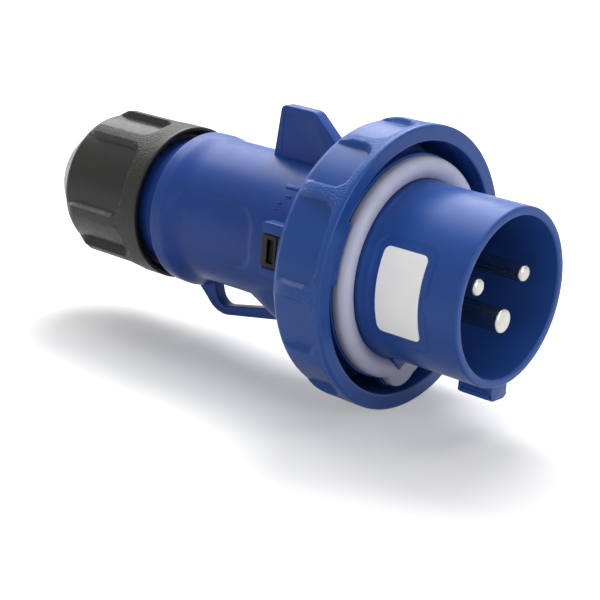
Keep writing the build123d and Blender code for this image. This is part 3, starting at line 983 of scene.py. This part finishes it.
@dataclass
class FaceSeal(Assembly):
    """Soft grey seal around the root of the shroud, with a lobe below."""

    front: float = 36.6
    back: float = 41.5
    inner: float = 29.62
    outer: float = 36.5
    inner_foot: float = 2.3
    inner_lean: Point = (-2.9, 1.6)
    outer_pull: Point = (-3.8, -1.0)
    outer_foot: float = 2.9
    back_edge: float = 0.3
    lobe_r: float = 7.8
    lobe_tip: float = 40.2
    lobe_start: float = 1.5
    lobe_blend: float = 4.5
    lobe_forward: float = 1.1
    lobe_face: float = 39.0
    steps: int = 360
    cell: float = 0.6

    def build(self) -> None:
        """Builds and places the seal: a crowned ring whose outer part is drawn to the lobe."""
        start = (self.front + self.inner_foot, self.inner)
        end = (self.front + self.outer_foot, self.outer)
        profile = [start, *curve(start, self.inner_lean, self.outer_pull, end, 18), end,
                   (self.back, self.outer, self.back_edge), (self.back, self.inner)]
        bm = turned(profile, self.steps, self.cell)
        middle = self.lobe_tip - self.lobe_r
        for vert in bm.verts:
            radius = math.hypot(vert.co.y, vert.co.z)
            down = math.atan2(abs(vert.co.y), -vert.co.z)
            share = smooth_step((radius - self.inner - self.lobe_start) / self.lobe_blend)
            reach = max(self.outer, lobe_radius(down, middle, self.lobe_r))
            scale = 1.0 + share * (reach / self.outer - 1.0)
            vert.co.y *= scale
            vert.co.z *= scale
            if reach > self.outer:
                out = smooth_step((reach - self.outer) / 2.0)
                face = smooth_step((self.lobe_face + vert.co.x) / 2.0)
                vert.co.x -= self.lobe_forward * share * out * face
        obj = finished("face_seal_skin", [bm], self.palette.seal.material())
        place(obj, Body.PLUG, "face_seal")


@dataclass
class CouplingRing(Assembly):
    """Bayonet coupling ring with grip pockets and two inner lugs."""

    front: float = 37.8
    back: float = 62.7
    outer: float = 47.0
    bore: float = 41.7
    web: float = 5.2
    web_bore: float = 29.8
    round_len: float = 12.7
    round_lean: Point = (6.5, 0.0)
    round_pull: Point = (-2.25, 5.0)
    tail: float = 38.2
    front_edge: float = 0.8
    bore_edge: float = 0.6
    web_edge: float = 0.4
    tail_edge: float = 0.25
    pocket_start: float = 5.2
    pocket_depth: float = 2.0
    lug_back: float = 1.0
    lug_len: float = 4.6
    lug_reach: float = 4.0
    lug_sink: float = 0.6
    lug_half_deg: float = 14.5
    lug_shift_deg: float = 1.5
    lug_edge: float = 0.4
    turn_deg: float = 162.0
    steps: int = 480
    cell: float = 0.55

    def rim(self) -> Mesh:
        """The turned ring with its pockets.

        Returns:
            A closed mesh in millimetres.
        """
        start, end = (self.back - self.round_len, self.outer), (self.back, self.tail)
        web_front = self.back - self.web
        profile = [
            (self.front, self.outer, self.front_edge), start,
            *curve(start, self.round_lean, self.round_pull, end, 26), (*end, self.tail_edge),
            (self.back, self.web_bore, self.web_edge),
            (web_front, self.web_bore, self.web_edge),
            (web_front, self.bore, self.bore_edge),
            (self.front, self.bore, self.bore_edge),
        ]
        wall_from = self.tail - 0.2
        bm = turned(profile, self.steps, self.cell, wall_from)
        pockets = GripPockets(self.outer - self.pocket_depth, self.front + self.pocket_start,
                              draft_deg=30.0, land_deg=7.4, wide_pitch=40.5, narrow_count=5,
                              turn_deg=self.turn_deg)
        pockets.carve(bm, wall_from, self.front + 1.0)
        return bm

    def lug(self, angle_deg: float) -> Mesh:
        """One inner lug: a short sector spun under the front of the rim.

        Args:
            angle_deg: Middle of the lug, from +Y towards +Z.

        Returns:
            A closed mesh in millimetres.
        """
        bm = bmesh.new()
        front, back = self.front + self.lug_back, self.front + self.lug_back + self.lug_len
        low, high = self.bore - self.lug_reach, self.bore + self.lug_sink
        face = bm.faces.new([bm.verts.new((-s, r, 0.0)) for s, r in
                             ((front, low), (front, high), (back, high), (back, low))])
        start = math.radians(angle_deg - self.lug_half_deg)
        bmesh.ops.rotate(bm, verts=bm.verts[:], cent=(0, 0, 0),
                         matrix=Matrix.Rotation(start, 3, "X"))
        bmesh.ops.spin(bm, geom=[face], cent=(0, 0, 0), axis=X_AXIS, dvec=(0, 0, 0),
                       angle=math.radians(2 * self.lug_half_deg), steps=16, use_duplicate=False)
        bmesh.ops.holes_fill(bm, edges=bm.edges[:], sides=4)
        facing_out(bm)
        bevelled(bm, steep_edges(bm, over=1.0), self.lug_edge, segments=3, clamp=True)
        return bm

    def build(self) -> None:
        """Builds and places the ring."""
        middle = self.turn_deg + self.lug_shift_deg
        obj = finished("bayonet_ring", [self.rim(), self.lug(middle), self.lug(middle + 180.0)],
                       self.palette.ring.material())
        place(obj, Body.RING, "coupling_ring")


@dataclass
class Pins(Assembly):
    """Two small contacts with domed tips and a thicker earth contact."""

    root: float = 45.8
    root_step: float = 0.3
    step: float = 50.0
    back: float = 72.0
    hole_front: float = 58.0
    barrel_wall: float = 1.7
    barrel_step: float = 1.2
    barrel_edge: float = 0.3
    side_y: float = 12.55
    side_z: float = 4.75
    side_bar: Triple = (3.5, 3.0, 1.5)
    earth_z: float = -8.0
    earth_bar: Triple = (1.85, 4.0, 0.8)
    steps: int = 96

    def contact(self, node: str, bar: Triple, centre: Point) -> None:
        """Turns one contact and places it.

        Args:
            node: Node that it stands for.
            bar: Station of its tip, radius of its round bar and rounding of its tip.
            centre: Y and Z of its axis.
        """
        tip, radius, dome = bar
        thin, wide = radius - self.root_step, radius + self.barrel_step
        hole = wide - self.barrel_wall
        bm = turned([
            (tip, 0.0), (tip, radius, dome), (self.root, radius),
            (self.root, thin), (self.step, thin),
            (self.step, wide, self.barrel_edge), (self.back, wide, self.barrel_edge),
            (self.back, hole), (self.hole_front, hole), (self.hole_front, 0.0),
        ], self.steps, centre=centre)
        obj = finished(node.replace("_pin", "_contact_pin"), [bm], self.palette.pin.material())
        place(obj, Body.PLUG, node)

    def build(self) -> None:
        """Builds the three contacts."""
        self.contact("line_pin", self.side_bar, (-self.side_y, self.side_z))
        self.contact("neutral_pin", self.side_bar, (self.side_y, self.side_z))
        self.contact("earth_pin", self.earth_bar, (0.0, self.earth_z))


@dataclass
class Handle(Assembly):
    """Grip tube with front flange, fin, chin, strap, rails, thumb panels and gland boss."""

    disc_back: float = 52.5
    neck_back: float = 63.0
    flange_rear: float = 66.5
    end: float = 131.0
    collar_len: float = 5.0
    blend: float = 8.0
    rise_lean: Point = (3.5, 0.1)
    rise_pull: Point = (-2.5, -0.25)
    bore: float = 22.2
    spigot_r: float = 25.85
    flange_r: float = 32.5
    grip_r: float = 24.9
    lift: float = 1.3
    collar_r: float = 27.0
    collar_edge: Point = (0.1, 0.45)
    neck_r: float = 23.4
    neck_len: float = 6.0
    boss_r: float = 22.4
    boss_len: float = 21.0
    boss_bore: float = 18.8
    boss_floor: float = 5.0
    throat: float = 16.0
    throat_front: float = 4.0
    cone_front: float = 10.0
    thumb_mid: float = 105.5
    thumb_half: Point = (19.5, 12.0)
    thumb_corner: float = 9.0
    thumb_depth: float = 0.5
    thumb_soft: float = 2.0
    fin_half: float = 2.5
    fin_outline: Outline = ((-98.7, 22.0), (-96.3, 43.4, 1.9), (-81.8, 43.4, 1.6),
                            (-69.3, 32.6), (-66.0, 30.5), (-66.0, 22.0))
    panel_reach: Point = (2.25, 4.0)
    panel_outline: Outline = ((-95.2, 27.6, 1.5), (-94.6, 41.0, 1.5), (-83.2, 41.0, 1.5),
                              (-77.2, 34.6, 1.5), (-77.2, 27.6, 1.5))
    chin_rings: tuple[Triple, ...] = ((99.0, 15.2, -9.4), (84.0, 19.0, -11.8),
                                      (65.5, 19.0, -11.8))
    strap_outline: Outline = (
        (-130.4, -22.5), (-130.4, -26.6), (-127.4, -28.9, 2.0), (-119.6, -36.3, 5.0),
        (-90.0, -30.8), (-66.7, -30.0), (-66.7, -22.5), (-84.0, -22.5),
        (-99.0, -28.7, 1.5), (-119.2, -33.0, 4.5), (-122.3, -22.5))
    edge: float = 0.6
    rail_span: Point = (66.0, 79.5)
    rail_reach: Point = (22.8, 27.6)
    rail_levels: tuple[Point, ...] = ((-5.7, -8.3), (5.7, 9.6))
    mark_rows: Outline = ((73.0, 129.0, 7.2, 0.8), (75.7, 137.5, 2.4, 0.35),
                          (78.2, 144.2, 1.6, 0.3), (79.0, 149.8, 1.0, 0.25))
    mark_rise: float = 0.35
    slot_span: Point = (62.0, 67.0)
    slot_reach: Point = (26.2, 28.1)
    slot_half: float = 4.2
    cut_slack: float = 0.01
    cut_ahead: float = 0.5
    cut_inset: float = 0.1
    steps: int = 400
    cell: float = 0.8

    def tube(self) -> Mesh:
        """The turned body, with its grip lifted and its thumb panels pressed in.

        Returns:
            A closed mesh in millimetres.
        """
        collar = self.end - self.collar_len
        start = collar - self.blend
        draft, rear_edge = self.collar_edge
        neck_end, boss_end = self.end + self.neck_len, self.end + self.boss_len
        seat = self.end + self.boss_floor
        bm = turned([
            (self.disc_back, self.bore), (self.disc_back, self.spigot_r, 0.4),
            (self.neck_back, self.spigot_r), (self.neck_back, self.flange_r, 0.4),
            (self.flange_rear, self.flange_r, self.edge),
            (self.flange_rear, self.grip_r), (start, self.grip_r),
            *curve((start, self.grip_r), self.rise_lean, self.rise_pull,
                   (collar, self.collar_r), 12),
            (collar, self.collar_r), (self.end, self.collar_r - draft, rear_edge),
            (self.end, self.neck_r), (neck_end, self.neck_r, 0.5),
            (neck_end, self.boss_r), (boss_end, self.boss_r, 0.5),
            (boss_end, self.boss_bore), (seat, self.boss_bore),
            (seat, self.throat), (self.end - self.throat_front, self.throat),
            (self.end - self.cone_front, self.bore),
        ], self.steps, self.cell, self.grip_r - 0.1)
        for vert in bm.verts:
            station, radius = -vert.co.x, math.hypot(vert.co.y, vert.co.z)
            if radius < self.bore + 1.0 or not self.flange_rear + 0.1 < station < collar:
                continue
            level = self.grip_r * math.sin(math.atan2(vert.co.z, abs(vert.co.y)))
            gap = rounded_box_gap(station - self.thumb_mid, level, *self.thumb_half,
                                  self.thumb_corner)
            depth = self.thumb_depth * smooth_step(-gap / self.thumb_soft)
            rise = self.lift * (1.0 - smooth_step((station - start) / self.blend))
            scale = (radius - depth) / radius
            vert.co.y *= scale
            vert.co.z = vert.co.z * scale + rise
        return bm

    def chin(self) -> Mesh:
        """The swelling under the tube: three rings bridged together.

        Returns:
            A closed mesh in millimetres.
        """
        bm = bmesh.new()
        loops = []
        for station, radius, level in self.chin_rings:
            out = bmesh.ops.create_circle(bm, cap_ends=False, radius=radius, segments=120)
            spot = Matrix.Translation((-station, 0, level)) @ Matrix.Rotation(math.pi / 2, 4, "Y")
            bmesh.ops.transform(bm, matrix=spot, verts=out["verts"])
            loops.append({e for v in out["verts"] for e in v.link_edges})
        for a, b in zip(loops, loops[1:]):
            bmesh.ops.bridge_loops(bm, edges=list(a | b))
        bmesh.ops.holes_fill(bm, edges=bm.edges[:], sides=0)
        facing_out(bm)
        return bm

    def rails(self) -> list[Mesh]:
        """The four rails beside the latches.

        Returns:
            Closed meshes in millimetres.
        """
        front, back = (-station for station in self.rail_span)
        out = []
        for side in Side:
            for levels in self.rail_levels:
                near, far = (self.lift + level for level in levels)
                points = ((front, near), (back, near, 0.7), (back, far, 1.5), (front, far))
                out.append(slab(points, side.span(*self.rail_reach), self.edge))
        return out

    def marks(self) -> list[Mesh]:
        """Four short raised bars beside the fin, as plain position marks.

        Returns:
            Closed meshes in millimetres.
        """
        out = []
        for station, angle, length, half in self.mark_rows:
            bar = brick((-station - length, -half, self.grip_r - 0.5),
                        (-station, half, self.grip_r + self.mark_rise), 0.15, 2)
            turn = Matrix.Rotation(math.radians(angle - 90.0), 3, "X")
            bmesh.ops.rotate(bar, verts=bar.verts[:], cent=(0, 0, 0), matrix=turn)
            bmesh.ops.translate(bar, verts=bar.verts[:], vec=(0, 0, self.lift))
            out.append(bar)
        return out

    def cutters(self) -> list[Mesh]:
        """What is cut from the joined body: its bore, and a slot for each latch's tongue.

        Returns:
            Closed meshes in millimetres.
        """
        bore, throat = self.bore - self.cut_slack, self.throat - self.cut_slack
        ahead, cone = self.disc_back - self.cut_ahead, self.end - self.cone_front - self.cut_inset
        rear = self.end - self.throat_front - self.cut_inset
        out = [turned([(ahead, 0.0), (ahead, bore), (cone, bore),
                       (rear, throat), (rear, 0.0)], self.steps)]
        front, back = self.slot_span
        for side in Side:
            y0, y1 = side.span(*self.slot_reach)
            out.append(brick((-back, y0, self.lift - self.slot_half),
                             (-front, y1, self.lift + self.slot_half)))
        return out

    def build(self) -> None:
        """Builds and places the handle."""
        material = self.palette.handle.material()
        across = (-self.fin_half, self.fin_half)
        obj = finished("grip_handle", [self.tube()], material)
        fin = finished("fin_tool", [slab(self.fin_outline, across, self.edge)], material)
        for side in Side:
            panel = slab(self.panel_outline, side.span(*self.panel_reach), 0.2, 2)
            combine(fin, finished("panel_tool", [panel], material), Join.CUT)
        adds = finished("chin_tool", [self.chin()], material)
        strap = slab(self.strap_outline, across, self.edge)
        combine(adds, finished("strap_tool", [strap], material), Join.ADD)
        combine(adds, fin, Join.ADD)
        combine(adds, finished("rail_tool", self.rails() + self.marks(), material), Join.ADD)
        combine(obj, adds, Join.ADD)
        combine(obj, finished("bore_tool", self.cutters(), material), Join.CUT)
        place(obj, Body.PLUG, "handle_body")


@dataclass
class SlidingLatch(Assembly):
    """Black sliding catch with a finger slot and a tongue towards the neck."""

    side: Side
    body: Body
    node: str
    front: float = 69.0
    back: float = 79.5
    inner: float = 25.1
    outer: float = 27.4
    lift: float = 1.3
    half: float = 5.5
    end_corner: float = 1.0
    edge: float = 0.22
    step_span: Point = (70.0, 73.1)
    step_depth: float = 0.5
    slot_span: Point = (74.0, 76.9)
    slot_half: float = 4.0
    slot_depth: float = 1.6
    tongue_span: Point = (60.6, 70.0)
    tongue_reach: Point = (26.4, 27.9)
    tongue_edge: float = 0.3

    def faces(self, bm: Mesh, span: Point, half: float) -> list[bmesh.types.BMFace]:
        """Faces of the outer side between two stations and at most half from the middle."""
        middles = [(f, f.calc_center_median()) for f in bm.faces if f.normal.y > 0.9]
        return [f for f, m in middles if span[0] < -m.x < span[1] and abs(m.z - self.lift) < half]

    def build(self) -> None:
        """Builds and places the catch."""
        bm = brick((-self.back, self.inner, self.lift - self.half),
                   (-self.front, self.outer, self.lift + self.half))
        ends = [e for e in bm.edges if all(v.co.x < 0.01 - self.back for v in e.verts)
                and abs(e.verts[0].co.y - e.verts[1].co.y) > 1.0]
        bevelled(bm, ends, self.end_corner, segments=5)
        for station in self.step_span + self.slot_span:
            sliced(bm, (-station, 0, 0), X_AXIS)
        for level in (-self.slot_half, self.slot_half):
            sliced(bm, (0, 0, self.lift + level), Z_AXIS)
        step = self.faces(bm, self.step_span, self.half)
        slot = self.faces(bm, self.slot_span, self.slot_half)
        for faces, depth in ((step, self.step_depth), (slot, self.slot_depth)):
            pulled(bm, faces, (0, -depth, 0))
            bmesh.ops.delete(bm, geom=faces, context="FACES")
        bmesh.ops.dissolve_limit(bm, angle_limit=0.01, verts=bm.verts[:], edges=bm.edges[:])
        bevelled(bm, steep_edges(bm, over=1.0), self.edge, segments=3, clamp=True)
        front, back = self.tongue_span
        low, high = self.tongue_reach
        tongue = brick((-back, low, self.lift - self.slot_half),
                       (-front, high, self.lift + self.slot_half), self.tongue_edge)
        if self.side is Side.LEFT:
            for part in (bm, tongue):
                bmesh.ops.scale(part, verts=part.verts[:], vec=(1, -1, 1))
                bmesh.ops.reverse_faces(part, faces=part.faces[:])
        obj = finished(self.node + "_catch", [bm, tongue], self.palette.latch.material())
        place(obj, self.body, self.node)


@dataclass
class GlandNut(Assembly):
    """Cable gland nut with an open mouth, grip pockets and a domed end."""

    front: float = 138.0
    grip_end: float = 171.5
    taper_end: float = 176.5
    end: float = 190.0
    lip: float = 1.3
    mouth: float = 3.3
    mouth_len: float = 3.5
    outer: float = 27.3
    taper_r: float = 24.4
    dome_lean: Point = (3.75, -4.7)
    dome_pull: Point = (-3.1, 5.15)
    end_r: float = 12.4
    hole_r: float = 10.8
    seat_r: float = 15.4
    cage_bore: float = 18.8
    thread_r: float = 22.7
    thread_back: float = 161.5
    thrust_back: float = 175.8
    thrust_len: float = 3.0
    pocket_start: float = 10.5
    pocket_depth: float = 2.5
    pocket_len: float = 60.0
    steps: int = 400
    cell: float = 0.5

    def build(self) -> None:
        """Builds and places the nut."""
        start, end = (self.taper_end, self.taper_r), (self.end, self.end_r)
        thread_front = self.front + self.mouth_len
        bm = turned([
            (self.front, self.outer, 0.4), (self.grip_end, self.outer, 1.2),
            (*start, 0.8), *curve(start, self.dome_lean, self.dome_pull, end, 26),
            (*end, 0.5), (self.end, self.hole_r, 0.4),
            (self.thrust_back, self.hole_r), (self.thrust_back, self.seat_r),
            (self.thrust_back - self.thrust_len, self.seat_r),
            (self.thread_back, self.cage_bore), (self.thread_back, self.thread_r),
            (thread_front, self.thread_r), (thread_front, self.outer - self.mouth),
            (self.front, self.outer - self.lip, 0.35),
        ], self.steps, self.cell, self.taper_r - 0.2)
        pockets = GripPockets(self.outer - self.pocket_depth, self.front + self.pocket_start,
                              draft_deg=25.0, land_deg=11.0, wide_pitch=72.0, narrow_count=3,
                              turn_deg=158.0, length=self.pocket_len)
        pockets.carve(bm, self.taper_r - 0.4, self.front + 0.5)
        obj = finished("gland_nut_skin", [bm], self.palette.nut.material())
        place(obj, Body.NUT, "gland_nut")


@dataclass
class InnerParts(Assembly):
    """CAD nodes whose shapes are right as they are, dressed with finishes."""

    nodes: dict[str, bpy.types.Object]

    def build(self) -> None:
        """Gives each node its material."""
        finishes = {
            self.palette.insert: ("contact_carrier", "carrier_cover"),
            self.palette.screw: ("cover_screws", "line_screw", "neutral_screw", "earth_screw"),
            self.palette.dark_rubber: ("body_seal", "gland_seal"),
            self.palette.cage: ("gland_cage", "thrust_ring"),
        }
        for finish, names in finishes.items():
            for name in names:
                for slot in self.nodes[name].material_slots:
                    slot.material = finish.material()
                LOG.info("%s dressed in %s", name, finish.name)


# Studio


@dataclass(frozen=True)
class Softbox:
    """One soft area lamp: its place and sides in metres, and its power in watts."""

    name: str
    spot: Triple
    sides: Point
    watts: float
    mirrored: bool = True

    def hang(self, aim: Triple) -> None:
        """Adds the lamp to the scene.

        Args:
            aim: Point that it faces.
        """
        data = bpy.data.lights.new(self.name, "AREA")
        data.shape = "RECTANGLE"
        data.size, data.size_y = self.sides
        data.energy = self.watts
        obj = bpy.data.objects.new(self.name, data)
        turn = (Vector(aim) - Vector(self.spot)).to_track_quat("-Z", "Y")
        obj.matrix_world = Matrix.Translation(self.spot) @ turn.to_matrix().to_4x4()
        obj.visible_glossy = self.mirrored
        bpy.context.scene.collection.objects.link(obj)


@dataclass
class Studio:
    """Floor, lamps, world and the camera at the photograph's angle, in metres."""

    floor_z: float = -0.0471
    floor_r: float = 6.0
    floor_tones: Point = (0.50, 0.49)
    floor_clouds: Clouds = Clouds(40.0)
    glow: Point = (0.34, 1.0)
    glow_span: Point = (0.3, 0.9)
    sky: tuple[float, ...] = (0.92, 0.94, 1.0, 1.0)
    sky_strength: float = 0.13
    aim: Triple = (-0.09, 0.0, 0.0)
    camera_spot: Triple = (0.272234, -0.431114, 0.151447)
    camera_right: Triple = (0.75435, 0.65248, 0.07237)
    camera_up: Triple = (-0.24684, 0.17975, 0.95224)
    camera_back: Triple = (0.60831, -0.73619, 0.29665)
    focal_mm: float = 103.19
    sensor_mm: float = 36.0
    lamps: tuple[Softbox, ...] = (
        Softbox("back_softbox", (-0.72, 0.40, 0.74), (0.95, 0.75), 9.0),
        Softbox("key_light", (-0.36, 0.50, 0.76), (0.5, 0.4), 12.5, mirrored=False),
        Softbox("top_softbox", (-0.05, 0.15, 0.95), (0.9, 0.7), 5.0),
        Softbox("front_softbox", (0.85, -0.05, 0.35), (0.5, 0.5), 4.0),
        Softbox("side_fill", (0.05, -0.95, 0.15), (0.8, 0.6), 3.6, mirrored=False),
    )

    def floor(self) -> None:
        """A wide pale floor that shows white and keeps the shadow."""
        n = Nodes(bpy.data.materials.new("studio_floor"))
        near, far = ((tone, tone, tone + 0.005, 1.0) for tone in self.floor_tones)
        pale = n.mix(n.noise(self.floor_clouds), near, far)
        diffuse = n.fed("ShaderNodeBsdfDiffuse", pale)
        away = n.add("ShaderNodeVectorMath", operation="LENGTH")
        n.feed(away.inputs[0], n.place)
        strength = n.spread(away.outputs["Value"], *self.glow, *self.glow_span)
        lit = n.fed("ShaderNodeAddShader", diffuse, n.fed("ShaderNodeEmission", WHITE, strength))
        shown = n.fed("ShaderNodeMixShader", n.seen(), diffuse, lit)
        n.feed(n.add("ShaderNodeOutputMaterial").inputs["Surface"], shown)
        bm = bmesh.new()
        bmesh.ops.create_circle(bm, cap_ends=True, radius=self.floor_r, segments=96)
        bmesh.ops.translate(bm, verts=bm.verts[:], vec=(0, 0, self.floor_z))
        mesh = bpy.data.meshes.new("studio_floor")
        bm.to_mesh(mesh)
        bm.free()
        mesh.materials.append(n.owner)
        obj = bpy.data.objects.new("studio_floor", mesh)
        bpy.context.scene.collection.objects.link(obj)

    def world(self) -> None:
        """A white surround that lights softly."""
        n = Nodes(bpy.data.worlds.new("studio_world"))
        bpy.context.scene.world = n.owner
        soft = n.fed("ShaderNodeBackground", self.sky, self.sky_strength)
        white = n.fed("ShaderNodeBackground", WHITE, 1.0)
        shown = n.fed("ShaderNodeMixShader", n.seen(), soft, white)
        n.feed(n.add("ShaderNodeOutputWorld").inputs["Surface"], shown)

    def camera(self) -> None:
        """The camera that the photograph was matched with."""
        data = bpy.data.cameras.new("camera")
        data.sensor_width = self.sensor_mm
        data.sensor_fit = "HORIZONTAL"
        data.lens = self.focal_mm
        data.clip_start = 0.01
        obj = bpy.data.objects.new("camera", data)
        turn = Matrix((self.camera_right, self.camera_up, self.camera_back)).transposed()
        obj.matrix_world = Matrix.Translation(self.camera_spot) @ turn.to_4x4()
        bpy.context.scene.collection.objects.link(obj)
        bpy.context.scene.camera = obj

    def build(self) -> None:
        """Sets up the whole studio."""
        bpy.context.scene.view_settings.view_transform = "Standard"
        self.floor()
        self.world()
        for lamp in self.lamps:
            lamp.hang(self.aim)
        self.camera()


def main() -> None:
    """Builds the plug's pieces in order around the frame."""
    logging.basicConfig(level=logging.INFO, format="%(name)s: %(message)s")
    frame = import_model()
    palette = Palette()
    assemblies: list[Assembly] = [
        FrontShell(palette),
        BlankLabel(palette),
        FaceSeal(palette),
        CouplingRing(palette),
        Pins(palette),
        Handle(palette),
        SlidingLatch(palette, Side.LEFT, Body.LATCH_LEFT, "latch_left"),
        SlidingLatch(palette, Side.RIGHT, Body.LATCH_RIGHT, "latch_right"),
        GlandNut(palette),
        InnerParts(palette, frame["nodes"]),
    ]
    for assembly in assemblies:
        assembly.build()
    Studio().build()


if __name__ == "__main__":
    main()
